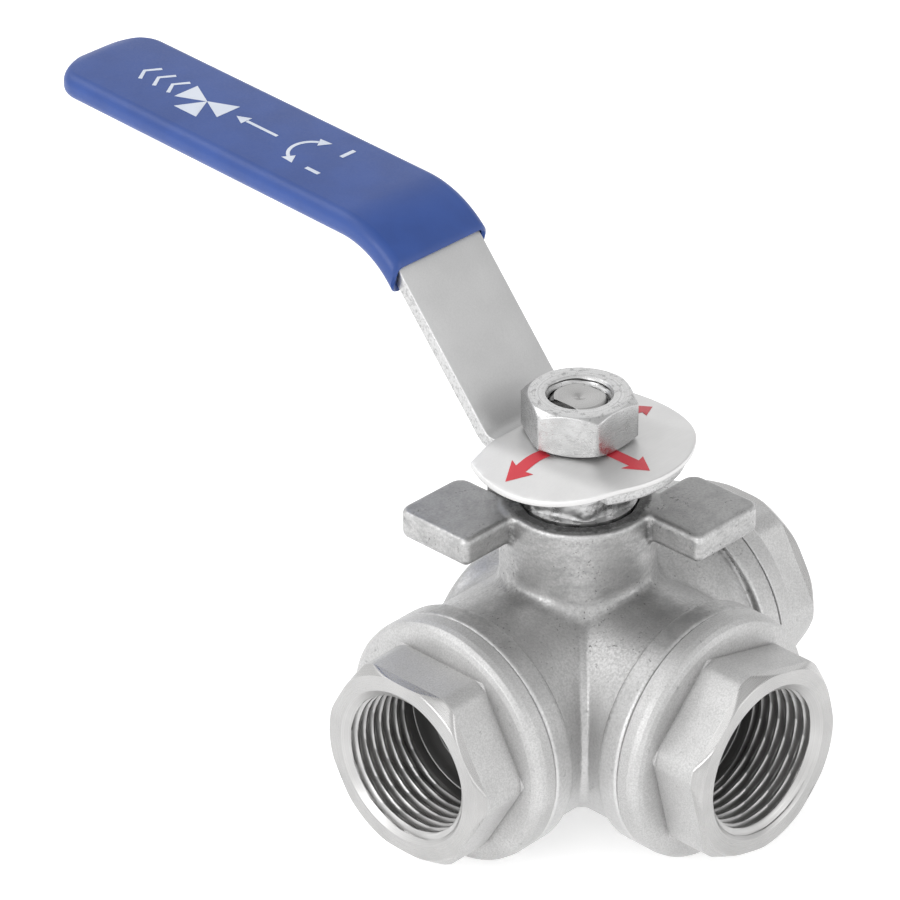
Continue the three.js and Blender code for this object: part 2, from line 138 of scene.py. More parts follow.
def place(obj, body, slot, *nodes):
    """Makes a piece ride on a body and stand for CAD nodes, which it hides. slot is not used."""
    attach(obj, body)
    if nodes:
        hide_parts(*nodes)


def smooth_min(a, b, k):
    """The lesser of two distances, blended with a fillet about as large as k."""
    h = np.clip(0.5 + 0.5 * (b - a) / k, 0, 1)
    return b + (a - b) * h - k * h * (1 - h)


def smooth_max(a, b, k):
    return -smooth_min(-a, -b, k)


def bar_distance(across, along, radius, reach, edge):
    """Distance to a round bar: its radius, how far it reaches along its axis and its edge's round."""
    return smooth_max(across - radius, along - reach, edge)


def shell_from_distance(field, low, high, cell):
    """Points, quads and normals of the surface where a distance field is zero, by surface nets."""
    axes = [np.arange(low[i], high[i] + cell, cell) for i in range(3)]
    inside = field(*np.meshgrid(*axes, indexing="ij")) < 0
    cells = tuple(n - 1 for n in inside.shape)
    count = np.zeros(cells, np.int8)
    for corner in np.ndindex(2, 2, 2):
        window = tuple(slice(c, c + n) for c, n in zip(corner, cells))
        count += inside[window]
    mixed = (count > 0) & (count < 8)
    number = np.full(cells, -1, np.int64)
    number[mixed] = np.arange(mixed.sum())
    points = np.argwhere(mixed) * cell + np.array([a[0] for a in axes]) + cell / 2
    normals = settle(field, points, cell * 0.6)
    return points, net_quads(inside, number), normals


def net_quads(inside, number):
    """Quads of numbered points, one round each grid edge that crosses the surface."""
    quads = []
    for axis in range(3):
        u, v = (axis + 1) % 3, (axis + 2) % 3
        lower = inside[tuple(slice(0, -1) if i == axis else slice(1, -1) for i in range(3))]
        upper = inside[tuple(slice(1, None) if i == axis else slice(1, -1) for i in range(3))]
        for leaving in (True, False):
            where = np.argwhere(lower & ~upper if leaving else ~lower & upper)
            where += np.array([0 if i == axis else 1 for i in range(3)])
            around = []
            for du, dv in ((1, 1), (0, 1), (0, 0), (1, 0)):
                cell_of = where.copy()
                cell_of[:, u] -= du
                cell_of[:, v] -= dv
                around.append(number[tuple(cell_of.T)])
            quads.append(np.stack(around if leaving else around[::-1], 1))
    return np.concatenate(quads)


def settle(field, points, longest_move):
    """Moves points onto the surface, in place, and gives the normals there."""
    tiny, steps = 0.02, 5
    for _ in range(steps):
        here, slope = slope_of(field, points, tiny)
        length = np.maximum((slope ** 2).sum(1), 0.1)
        move = slope * (here / length)[:, None]
        size = np.maximum(np.linalg.norm(move, axis=1), 1e-9)
        points -= move * np.minimum(1, longest_move / size)[:, None]
    _, slope = slope_of(field, points, tiny)
    return slope / np.maximum(np.linalg.norm(slope, axis=1), 1e-9)[:, None]


def slope_of(field, points, tiny):
    """A field's value and its gradient at some points."""
    slope = np.zeros_like(points)
    for i in range(3):
        ahead, behind = points.copy(), points.copy()
        ahead[:, i] += tiny
        behind[:, i] -= tiny
        slope[:, i] = (field(*ahead.T) - field(*behind.T)) / (2 * tiny)
    return field(*points.T), slope


def add_shell(name, field, low, high, material):
    """An object from a distance field."""
    points, quads, normals = shell_from_distance(field, low, high, cell=0.5)
    obj = add_mesh(name, points, quads.tolist(), [material])
    obj.data.normals_split_custom_set_from_vertices(normals.tolist())
    return obj


def rounded_profile(corners):
    """Corners of [radius, height, round] as a finer list of points with those corners rounded."""
    points, steps = [], 3
    flat = np.array(corners, float)[:, :2]
    to_before, to_after = np.roll(flat, 1, axis=0) - flat, np.roll(flat, -1, axis=0) - flat
    for here, before, after, (_, _, fillet) in zip(flat, to_before, to_after, corners):
        if fillet <= 0:
            points.append(here)
            continue
        before_length, after_length = np.linalg.norm(before), np.linalg.norm(after)
        before, after = before / before_length, after / after_length
        half_angle = math.acos(np.clip(before @ after, -1, 1)) / 2
        reach = min(fillet / math.tan(half_angle), before_length * 0.49, after_length * 0.49)
        start, end = here + before * reach, here + after * reach
        for t in np.linspace(0, 1, steps + 1):
            points.append((1 - t) ** 2 * start + 2 * t * (1 - t) * here + t ** 2 * end)
    return np.array(points)


def refined(points, longest, low, high):
    """Splits the steps of a closed profile that are longer than wanted, between two heights."""
    finer = []
    for here, there in zip(points, np.roll(points, -1, axis=0)):
        middle = (here[1] + there[1]) / 2
        length = np.linalg.norm(there - here)
        count = max(1, math.ceil(length / longest)) if low <= middle <= high else 1
        finer.extend(here + (there - here) * t for t in np.linspace(0, 1, count, endpoint=False))
    return np.array(finer)


def band(here, there, count):
    """Quads between two rings of count points, given by each ring's first point."""
    around = np.arange(count)
    beside = (around + 1) % count
    return np.stack([here + around, here + beside, there + beside, there + around], 1)


def turned_grid(profile, segments, shape):
    """Points and quads of a closed profile spun about Z. shape changes each radius by angle."""
    angle = np.arange(segments) * TURN / segments
    height = np.repeat(profile[:, 1:2], segments, axis=1)
    radius = shape(np.repeat(profile[:, :1], segments, axis=1), height, angle[None, :])
    verts = np.stack([radius * np.cos(angle), radius * np.sin(angle), height], -1).reshape(-1, 3)
    starts = np.arange(len(profile)) * segments
    quads = [band(here, there, segments) for here, there in zip(starts, np.roll(starts, -1))]
    return verts, np.concatenate(quads).tolist()


def add_turned(name, profile, segments, shape, material):
    """An object from a profile spun about Z."""
    verts, faces = turned_grid(profile, segments, shape)
    return add_mesh(name, verts, faces, [material], TURNED_CREASE)


def hex_radius(angle, flats, first_flat, corner=0.4):
    """Radius of a hexagon at an angle, its corners a little round."""
    turns = (angle - math.radians(first_flat)) / (TURN / 6)
    off = (turns - np.round(turns)) * TURN / 6
    beside = TURN / 6 - np.abs(off)
    here, there = np.cos(off), np.cos(beside)
    return (flats / 2) / smooth_max(here, there, corner / flats)


# The turns that lay what is built along +Z along each port.
PORT_TURNS = {
    "left": Matrix.Rotation(math.radians(-90), 3, "Y"),
    "right": Matrix.Rotation(math.radians(90), 3, "Y"),
    "branch": Matrix.Rotation(math.radians(90), 3, "X"),
}


# -------- materials
class Nodes:
    """Short calls to build a node tree whose textures are laid by some coordinates."""

    def __init__(self, tree, coordinates):
        self.tree = tree
        self.coordinates = self.node("ShaderNodeTexCoord").outputs
        self.where = self.coordinates[coordinates]

    def node(self, kind, inputs=(), **settings):
        """A node with some settings, its inputs fed by name or place."""
        made = self.tree.nodes.new(kind)
        for setting, value in settings.items():
            setattr(made, setting, value)
        for socket, value in dict(inputs).items():
            self.feed(made.inputs[socket], value)
        return made

    def feed(self, socket, value):
        """Sets a socket to a number, a colour or another node's output."""
        if hasattr(value, "is_output"):
            self.tree.links.new(value, socket)
        else:
            socket.default_value = value

    def math(self, operation, *values):
        return self.node("ShaderNodeMath", enumerate(values), operation=operation).outputs[0]

    def times(self, *values):
        return self.math("MULTIPLY", *values)

    def noise(self, size, detail, roughness=0.5, vector=None):
        """Noise whose lumps are about size millimetres across, from 0 to 1."""
        inputs = {"Vector": self.where if vector is None else vector, "Scale": 1 / (size * MM),
                  "Detail": detail, "Roughness": roughness}
        return self.node("ShaderNodeTexNoise", inputs).outputs["Fac"]

    def ramp(self, value, low, high, from_low=0.3, from_high=0.7):
        """Maps a value to another range, smoothly."""
        inputs = enumerate((value, from_low, from_high, low, high))
        return self.node("ShaderNodeMapRange", inputs, interpolation_type="SMOOTHSTEP").outputs[0]

    def mix(self, amount, first, second):
        """A colour between two, in the sockets that the mix node keeps for colours."""
        return self.node("ShaderNodeMix", {0: amount, 6: first, 7: second}, data_type="RGBA").outputs[2]

    def bump(self, height, strength, distance, below=None):
        """Relief. distance is its depth in millimetres, and below another relief that it adds to."""
        inputs = {"Height": height, "Strength": strength, "Distance": distance * MM}
        if below is not None:
            inputs["Normal"] = below
        return self.node("ShaderNodeBump", inputs).outputs["Normal"]

    def split(self, vector):
        return self.node("ShaderNodeSeparateXYZ", {0: vector}).outputs

    def stretched(self, scale):
        """The coordinates scaled along X, Y and Z. Below 1 stretches a texture that way."""
        return self.node("ShaderNodeMapping", {"Vector": self.where, "Scale": scale}).outputs[0]


class Finish(Nodes):
    """A material's node tree."""

    def __init__(self, name, **sockets):
        self.material = bpy.data.materials.new(name)
        self.material.use_nodes = True
        super().__init__(self.material.node_tree, "Object")
        self.shader = self.tree.nodes["Principled BSDF"]
        for socket, value in sockets.items():
            self.shader.inputs[socket.replace("_", " ")].default_value = value

    def finished(self, colour, roughness, normal):
        """Feeds the shader, and gives the material."""
        for socket, value in (("Base Color", colour), ("Roughness", roughness), ("Normal", normal)):
            self.feed(self.shader.inputs[socket], value)
        return self.material

    def radius_about(self, axis):
        """How far a point lies from an axis through the origin, in metres."""
        split = self.split(self.where)
        squares = [self.times(split[i], split[i]) for i in range(3) if i != axis]
        return self.math("SQRT", self.math("ADD", *squares))

    def round_coordinates(self, axis):
        """Coordinates for turning marks: how far from the axis and how far along it, in metres."""
        inputs = {0: self.radius_about(axis), 1: self.split(self.where)[axis]}
        return self.node("ShaderNodeCombineXYZ", inputs).outputs[0]


def grey(value, warmth=0.0):
    """A grey with a trace of warmth, as a linear colour."""
    return (value * (1 + warmth), value, value * (1 - warmth), 1.0)


def cast_finish(name, light, dark, grain):
    """Bead blasted stainless casting: fine grain, cloudy tone, a few small pits and worn edges."""
    made = Finish(name, Metallic=1.0)
    clouds = made.noise(9, 3)
    grains = made.noise(grain, 3, 0.65)
    pits = made.ramp(made.noise(1.1, 4, 0.6), 1, 0, 0.27, 0.36)
    tone = made.mix(made.ramp(clouds, 0, 1), grey(dark, 0.004), grey(light, 0.004))
    speckled = made.mix(made.ramp(grains, 0, 0.45, 0.35, 0.65), tone, grey(dark * 0.72, 0.004))
    pitted = made.mix(made.times(pits, 0.4), speckled, grey(dark * 0.35))
    bend = made.node("ShaderNodeNewGeometry").outputs["Pointiness"]
    edge = made.times(made.ramp(bend, 0, 1, 0.51, 0.58), 0.5)
    worn = made.mix(edge, pitted, grey(min(light * 1.35, 0.85)))
    return made, worn, grains, pits, bend


def cap_cast_finish():
    """The end caps' blasted outside."""
    made, worn, grains, _, _ = cast_finish("cap_casting", 0.62, 0.55, 0.28)
    relief = made.bump(grains, 0.45, 0.03, made.bump(made.noise(2.6, 2), 0.25, 0.08))
    return made.finished(worn, made.ramp(grains, 0.52, 0.62), relief)


def top_shade_and_smears(made, height):
    """Where the body is darker, from 0 to 1: painted shade over the upward faces high up, such as the
    lug tops, a little broken by smears, and real smears down the neck.
    """
    up = made.split(made.coordinates["Normal"])[2]
    smears = made.ramp(made.noise(1.9, 5, 0.68, made.stretched((0.7, 0.7, 1.8))), 0, 1, 0.38, 0.68)
    on_top = made.times(made.ramp(up, 0, 1, 0.8, 0.98), made.ramp(height, 0, 1, 24 * MM, 28 * MM))
    # Painted shade: upward faces above 24 mm are darkened 60 to 95 percent of the way, varied by the
    # smears.
    painted_top_shade = made.times(on_top, made.ramp(smears, 0.6, 0.95, 0, 1))
    dull_neck = made.times(made.ramp(height, 0, 0.7, 17 * MM, 21 * MM), smears)
    return made.math("MAXIMUM", painted_top_shade, dull_neck)


def grimy_places(made, height, bend, patches):
    """Where dirt sits: in corners and pocks high on the body, and in a ragged ring at the rim."""
    corner = made.times(made.ramp(bend, 1, 0, 0.468, 0.498), patches)
    pock_marks = made.ramp(made.noise(0.55, 3, 0.6), 1, 0, 0.3, 0.4)
    pocks = made.times(pock_marks, made.ramp(made.noise(5, 2), 0, 1))
    high = made.ramp(height, 0, 1, 13 * MM, 18 * MM)
    spots = made.times(made.math("MAXIMUM", corner, pocks), high)
    ragged = made.math("ADD", made.radius_about(2), made.times(made.noise(1.4, 4, 0.7), 2.2 * MM))
    near_rim = made.ramp(ragged, 1, 0, 12.7 * MM, 13.4 * MM)
    return spots, made.times(near_rim, made.ramp(height, 0, 1, 31.5 * MM, 32.8 * MM))


def body_cast_finish():
    """The body's blasted outside: painted shade on top of the lugs, painted light low down, grimy in
    the corners, dark at the rim.
    """
    made, worn, grains, pits, bend = cast_finish("cast_steel", 0.56, 0.47, 0.42)
    height = made.split(made.where)[2]
    patches = made.ramp(made.noise(1.6, 4, 0.7), 0, 1, 0.35, 0.6)
    spots, rim = grimy_places(made, height, bend, patches)
    # Painted shade on the lug tops, and real smears down the neck, towards a dark grey.
    shaded_and_smeared = made.mix(top_shade_and_smears(made, height), worn, grey(0.33))
    # Painted light: low on the body the colour is lifted up to 42 percent of the way to a pale grey, to
    # cancel the shade low down between the arms.
    painted_light_low = made.mix(made.ramp(height, 0.42, 0, -8 * MM, 12 * MM), shaded_and_smeared, grey(0.78))
    grimy = made.mix(made.times(spots, 0.8), painted_light_low, grey(0.12))
    rim_stain = made.times(rim, made.ramp(patches, 0.5, 0.95, 0, 1))
    stained = made.mix(rim_stain, grimy, grey(0.14))
    roughness = made.math("ADD", made.ramp(grains, 0.42, 0.56), made.times(rim, 0.2))
    lumps = made.bump(made.noise(2.6, 2), 0.3, 0.1)
    rough = made.bump(grains, 0.65, 0.045, lumps)
    grit = made.times(made.math("ADD", spots, rim), made.noise(0.5, 3, 0.7))
    relief = made.bump(grit, 0.6, -0.12, made.bump(pits, 0.5, -0.05, rough))
    return made.finished(stained, roughness, relief)


def turned_finish(name, axis, value=0.49, roughness=(0.24, 0.34), depth=0.003, port_shade=0.0):
    """Machined steel: fine rings left by the tool, round an axis. Painted shade darkens a port's
    depths.
    """
    made = Finish(name, Metallic=1.0)
    rings = made.noise(0.12, 2, 0.6, made.round_coordinates(axis))
    clouds = made.noise(6, 2)
    tone = made.mix(made.ramp(clouds, 0, 1), grey(value * 0.9, 0.008), grey(value, 0.008))
    ringed = made.mix(made.ramp(rings, 0, 0.3), tone, grey(value * 0.72, 0.008))
    reach = made.math("ABSOLUTE", made.split(made.where)[axis])
    # Painted shade: deeper than 34 mm from the body's centre the thread and bore darken towards a
    # near-black grey, most at 24 mm.
    darkened = made.mix(made.ramp(reach, port_shade, 0, 24 * MM, 34 * MM), ringed, grey(0.07))
    return made.finished(darkened, made.ramp(rings, *roughness), made.bump(rings, 0.6, depth))


def sheet_finish(name, value, roughness, grain_axis=1, warmth=0.0, streak=0.12):
    """Rolled stainless sheet: matt, with faint streaks along the rolling direction."""
    made = Finish(name, Metallic=1.0)
    along_grain = made.stretched([0.06 if i == grain_axis else 1 for i in range(3)])
    streaks = made.noise(0.22, 3, 0.6, along_grain)
    clouds = made.noise(7, 3)
    fine = made.noise(0.18, 2)
    tone = made.mix(made.ramp(clouds, 0, 1), grey(value * 0.95, warmth), grey(value, warmth))
    streaked = made.mix(made.ramp(streaks, 0, streak), tone, grey(value * 0.7, warmth))
    relief = made.bump(fine, 0.3, 0.006, made.bump(streaks, 0.3, 0.005))
    return made.finished(streaked, made.ramp(streaks, *roughness), relief)


def sheared_finish():
    """The lever's sheared edge: bright and torn, with small dark nicks."""
    made = Finish("sheared_edge", Metallic=1.0)
    tears = made.noise(0.45, 4, 0.7)
    torn = made.mix(made.ramp(tears, 0, 1, 0.45, 0.7), grey(0.58), grey(0.36))
    return made.finished(torn, made.ramp(tears, 0.36, 0.5), made.bump(tears, 0.6, 0.05))


def nut_finish():
    """The stem nut: turned top scored by the spanner and painted lighter than the flats, and worn,
    slightly cloudy flats.
    """
    made = Finish("nut_steel", Metallic=1.0)
    rings = made.noise(0.16, 2, 0.6, made.round_coordinates(2))
    scores = made.ramp(made.noise(0.9, 5, 0.75), 0, 1, 0.52, 0.66)
    up = made.ramp(made.split(made.coordinates["Normal"])[2], 0, 1, 0.3, 0.9)
    side = made.mix(made.ramp(made.noise(3, 3), 0, 1), grey(0.45), grey(0.53))
    # Painted light: upward faces take a lighter grey, 0.66 against 0.45 to 0.53 on the flats; the rings
    # and scores on top are real marks.
    tone = made.mix(up, side, grey(0.66))
    ringed = made.mix(made.times(made.ramp(rings, 0, 0.4), up), tone, grey(0.36))
    on_top = made.times(scores, made.ramp(up, 0.1, 0.55, 0, 1))
    relief = made.bump(scores, 0.5, -0.04, made.bump(rings, 0.6, 0.012))
    return made.finished(made.mix(on_top, ringed, grey(0.16)), made.ramp(rings, 0.24, 0.36), relief)


def crumpled_finish():
    """The gland nut's worn, dented and stained steel."""
    made = Finish("gland_steel", Metallic=1.0)
    dents = made.noise(2.6, 2, 0.5)
    stains = made.ramp(made.noise(2.4, 4, 0.7), 0, 1, 0.48, 0.75)
    stained = made.mix(stains, grey(0.54), grey(0.22))
    relief = made.bump(made.noise(0.5, 3, 0.6), 0.4, 0.012, made.bump(dents, 0.8, 0.3))
    return made.finished(stained, made.ramp(dents, 0.24, 0.38), relief)


def plastic_finish(name, colour, darker, roughness, grain=0.5, depth=0.02):
    """Moulded plastic, rubber or ink: a soft mottle and a faint skin texture. Colours are linear."""
    made = Finish(name)
    mottled = made.mix(made.ramp(made.noise(8, 3), 0, 1), (*colour, 1), (*darker, 1))
    grains = made.noise(grain, 3, 0.55)
    relief = made.bump(grains, 0.5, depth, made.bump(made.noise(5, 2), 0.3, 0.12))
    return made.finished(mottled, made.ramp(grains, *roughness), relief)


CAST = body_cast_finish()
CAP_CAST = cap_cast_finish()
TURNED = {axis: turned_finish(f"turned_steel_{'xyz'[axis]}", axis) for axis in range(3)}
# Cut threads, with painted shade deep in the ports.
THREAD = {axis: turned_finish(f"cut_thread_{'xyz'[axis]}", axis, 0.57, (0.36, 0.48), port_shade=0.85)
          for axis in range(2)}
BALL_STEEL = turned_finish("polished_ball", 2, 0.35, (0.06, 0.12), 0.001)
NUT_STEEL = nut_finish()
GLAND_STEEL = crumpled_finish()
LEVER_STEEL = sheet_finish("lever_sheet", 0.6, (0.44, 0.54))
EDGE_STEEL = sheared_finish()
DISC_STEEL = sheet_finish("disc_sheet", 0.71, (0.46, 0.52), 0, 0.004, 0.03)
PTFE = plastic_finish("ptfe", (0.8, 0.79, 0.75), (0.72, 0.71, 0.66), (0.45, 0.6))
RUBBER = plastic_finish("fluoroelastomer", (0.02, 0.02, 0.02), (0.03, 0.03, 0.03), (0.6, 0.8))
VINYL = plastic_finish("blue_vinyl", (0.02, 0.064, 0.265), (0.016, 0.054, 0.23), (0.36, 0.44),
                       0.35, 0.012)
RED_PRINT = plastic_finish("red_print", (0.54, 0.035, 0.05), (0.47, 0.03, 0.045), (0.4, 0.5),
                           0.3, 0.004)
PALE_PRINT = plastic_finish("pale_print", (0.62, 0.66, 0.74), (0.55, 0.6, 0.7), (0.4, 0.5),
                            0.3, 0.004)


# -------- body casting
def body_field(x, y, z):
    """Distance to the cast and bored body."""
    run, branch = np.hypot(y, z), np.hypot(x, z)
    stem = np.hypot(x, y)
    inward, ring_start = 6, 23.8
    arm_fillet, boss_fillet, neck_fillet, ring_fillet = 1.2, 2, 2.3, 0.35
    run_arms = bar_distance(run, np.abs(x), ARM_R, ARM_END, 0.3)
    branch_arm = bar_distance(branch, np.maximum(-y, y + ARM_END - inward), ARM_R, ARM_END, 0.3)
    arms = smooth_min(run_arms, branch_arm, arm_fillet)
    boss = bar_distance(branch, np.abs(y), BOSS_R, BOSS_END, 2.4)
    shape = smooth_min(arms, boss, boss_fillet)
    neck = bar_distance(stem, np.abs(z - NECK_TOP / 2), NECK_R, NECK_TOP / 2, 0.9)
    shape = smooth_min(shape, neck, neck_fillet)
    shape = smooth_min(shape, lug_field(x, y, z), lug_fillet(y))
    shape = smooth_min(shape, lug_field(y, x, z), lug_fillet(x))
    for across, along in ((run, x), (run, -x), (branch, -y)):
        ring = smooth_max(bar_distance(across, along, RING_R, ARM_END, 0.5), ring_start - along, 0.6)
        shape = smooth_min(shape, ring, ring_fillet)
    seam = np.abs(x - y) / math.sqrt(2)
    front = np.clip((-x - y) / 12 - 0.6, 0, 1) * np.clip((19 - z) / 6, 0, 1)
    ridge_height, ridge_width = 0.12, 0.3
    shape = shape - ridge_height * front * np.exp(-(seam / ridge_width) ** 2)
    return bored(shape, x, y, z, run, branch, stem)


def lug_field(x, y, z):
    """Distance to the lug on the left of the neck. Swapping x and y gives the right one."""
    centre = np.array([-16.0, 10.8])
    half = np.array([7.5, 7.8])
    corner = np.where(y > centre[1], 2.4, 1.0)
    out_x = np.abs(x - centre[0]) - half[0] + corner
    out_y = np.abs(y - centre[1]) - half[1] + corner
    outside = np.hypot(np.maximum(out_x, 0), np.maximum(out_y, 0))
    plan = outside + np.minimum(np.maximum(out_x, out_y), 0) - corner
    bottom = 28.3
    middle, half_height = (NECK_TOP + bottom) / 2, (NECK_TOP - bottom) / 2
    return smooth_max(plan, np.abs(z - middle) - half_height, 1.1)


def lug_fillet(beside):
    """Fillet between neck and lug, smaller on the side where the stop plate's tab comes to rest."""
    full, less, start, fade = 1.3, 0.9, 6, 3
    return full - less * np.clip((beside - start) / fade, 0, 1)


def bored(shape, x, y, z, run, branch, stem):
    """Takes the ball's room, the port bores and the stepped neck bore out of the body."""
    rabbet_r, rabbet_start, edge = 19.3, 26.8, 0.35
    pocket_r, pocket_start, pocket_end = 11.5, 6, 17.2
    room = np.minimum(run - CAVITY_R, np.maximum(branch - CAVITY_R, y))
    room = np.minimum(room, np.sqrt(x ** 2 + y ** 2 + z ** 2) - CAVITY_R)
    blind_pocket = np.maximum(branch - pocket_r, y - pocket_end)
    room = np.minimum(room, np.maximum(blind_pocket, pocket_start - y))
    for across, along in ((run, x), (run, -x), (branch, -y)):
        room = np.minimum(room, np.maximum(across - rabbet_r, rabbet_start - along))
    neck_steps = ((10, 28.3, 60), (9, 22.3, 28.4), (6.2, 15, 25), (8.3, 12, 20.1))
    for radius, low, high in neck_steps:
        room = np.minimum(room, np.maximum(stem - radius, np.maximum(low - z, z - high)))
    return smooth_max(shape, -room, edge)


def make_body():
    """The bored casting."""
    margin = 1.5
    obj = add_shell("body_casting", body_field, BODY_LOW - margin, BODY_HIGH + margin, CAST)
    place(obj, "housing", "cast_steel", "body")


# -------- end caps
def cap_profile():
    """The cap's section as [radius, height, round], up the outside and down the inside."""
    flange, flange_thick, edge_bevel = ARM_END + 0.1, 3.9, 1.7
    nose_r, nose_end, nose_step, spigot_r = 12.9, 13.2, 16.8, 16.3
    relief_r, flow_r, seat_r, seat_back = 12.9, 8, 11.5, 18.3
    hex_root_r = 17.7
    outside = [[nose_r, nose_end, 0.3], [nose_r, nose_step, 0.2],
               [spigot_r, nose_step, 0.5], [spigot_r, flange, 0.1],
               [RING_R, flange, 0.25], [RING_R, flange + flange_thick, 2.1],
               [hex_root_r, HEX_START, 0.3], [hex_root_r, HEX_START + 0.3, 0.1],
               [HEX_CORNER_R, HEX_START + 0.5, 0.2], [HEX_CORNER_R, PORT_FACE - edge_bevel, 0.4],
               [CAP_FACE_R, PORT_FACE, 0.35], [MOUTH_R, PORT_FACE, 0.15]]
    chamfer_end = PORT_FACE - (MOUTH_R - THREAD_MINOR_R)
    inside = [[THREAD_MINOR_R, chamfer_end, 0.0], [THREAD_MINOR_R, SOCKET_FLOOR + 2.4, 0.0],
              [relief_r, SOCKET_FLOOR + 1.6, 0.2], [relief_r, SOCKET_FLOOR, 0.2],
              [flow_r, SOCKET_FLOOR, 0.3], [flow_r, seat_back, 0.2],
              [seat_r, seat_back, 0.1], [seat_r, nose_end, 0.2]]
    return outside + inside


def thread_wave(height, angle, pitch):
    """A right-handed helix as a wave from 1 to 0 and back over one pitch."""
    turns = height / pitch - angle / TURN
    return np.abs(2 * (turns - np.floor(turns)) - 1)


def thread_radius(height, angle):
    """Radius of the pipe thread's flanks, crests and roots."""
    crest, flank = 0.24, 0.66
    rounded = np.clip((thread_wave(height, angle, THREAD_PITCH) - crest) / flank, 0, 1)
    rounded = 0.35 * rounded + 0.65 * rounded ** 2 * (3 - 2 * rounded)
    return THREAD_MINOR_R + (THREAD_MAJOR_R - THREAD_MINOR_R) * rounded


def cap_shape(first_flat):
    """How the cap's radius changes with the angle: the hexagon outside and the thread inside."""
    relief, relief_top = 0.25, HEX_START + 0.35
    wall_r, thread_start, run_in = 11.9, SOCKET_FLOOR + 2.2, 0.8

    def shape(radius, height, angle):
        outside = radius > MOUTH_R + 0.05
        flats = hex_radius(angle, HEX_FLATS, first_flat) - np.where(height < relief_top, relief, 0)
        in_hex = outside & (height > HEX_START - 0.12)
        radius = np.where(in_hex, smooth_min(radius, flats, 0.3), radius)
        in_thread = ~outside & (radius > wall_r) & (height > thread_start) & (height < PORT_FACE - 0.02)
        cut = smooth_max(thread_radius(height, angle), MOUTH_R - (PORT_FACE - height) * 1.1, 0.12)
        fade = np.clip((height - thread_start) / run_in, 0, 1)
        return np.where(in_thread, np.minimum(radius + (cut - radius) * fade, MOUTH_R), radius)

    return shape


def cap_faces(profile):
    """The finish of each band of a cap's faces: 0 is cast, 1 machined and 2 the thread and bore."""
    radius, height = ((profile + np.roll(profile, -1, axis=0)) / 2).T
    machined = (height > PORT_FACE - 1.75) & (radius < HEX_CORNER_R - 0.05)
    threaded = (radius < MOUTH_R - 0.02) & (height > SOCKET_FLOOR + 0.1) | (radius < 12)
    return np.where(threaded, 2, np.where(machined, 1, 0))


def make_cap(port, axis, first_flat):
    """One end cap: cast outside, machined face and chamfer, and a cut thread."""
    profile = refined(rounded_profile(cap_profile()), 0.16, SOCKET_FLOOR + 1.0, PORT_FACE - 0.1)
    segments = 288
    verts, faces = turned_grid(profile, segments, cap_shape(first_flat))
    verts = verts @ np.array(PORT_TURNS[port]).T
    materials = [CAP_CAST, TURNED[axis], THREAD[axis]]
    kinds = cap_faces(profile).repeat(segments)
    obj = add_mesh(f"cap_{port}", verts, faces, materials, TURNED_CREASE, kinds)
    place(obj, "housing", "turned_steel", f"end_cap_{port}")


# -------- gland, ball, stem and nut
def make_gland_nut():
    """Gland nut, standing in the neck's bore."""
    bottom, top = GLAND_LOW[2], GLAND_HIGH[2]
    bore, thread_r, head_r, face_r = 6.3, 9.75, 9.5, 8.5
    hex_start = bottom + 4.9
    corners = [[bore, bottom, 0.2], [thread_r, bottom, 0.4], [thread_r, hex_start, 0.3],
               [head_r, hex_start + 0.1, 0.1], [head_r, top - 0.8, 0.3], [face_r, top, 0.4],
               [bore, top, 0.3]]
    profile = refined(rounded_profile(corners), 0.3, hex_start, top - 0.05)

    def shape(radius, height, angle):
        flats = hex_radius(angle, 16.6, 80, 2.5)
        on_head = (height > hex_start) & (radius > bore + 0.2)
        return np.where(on_head, smooth_min(radius, flats, 0.8), radius)

    obj = add_turned("gland_nut_turned", profile, 180, shape, GLAND_STEEL)
    place(obj, "housing", "turned_steel", "gland_nut")


def ball_field(x, y, z):
    """Distance to the T bored and slotted ball."""
    ball_r, bore_r, slot_half, slot_floor = 16, 7.5, 3.1, 11.9
    sphere = np.sqrt(x ** 2 + y ** 2 + z ** 2) - ball_r
    run = np.hypot(y, z) - bore_r
    branch = np.maximum(np.hypot(x, z) - bore_r, y)
    bores = smooth_min(run, branch, 0.5)
    slot = np.maximum(np.abs(x) - slot_half, slot_floor - z)
    return smooth_max(sphere, -smooth_min(bores, slot, 0.2), 0.6)


def make_ball():
    """The ball, sealed inside the body."""
    reach = np.full(3, 17.0)
    obj = add_shell("ball_polished", ball_field, -reach, reach, BALL_STEEL)
    place(obj, "ball", "turned_steel", "ball")


def screw_radius(height, angle, pitch, outer, depth):
    """Radius of a small screw thread."""
    crest, flank = 0.1, 0.8
    return outer - depth * np.clip((thread_wave(height, angle, pitch) - crest) / flank, 0, 1)


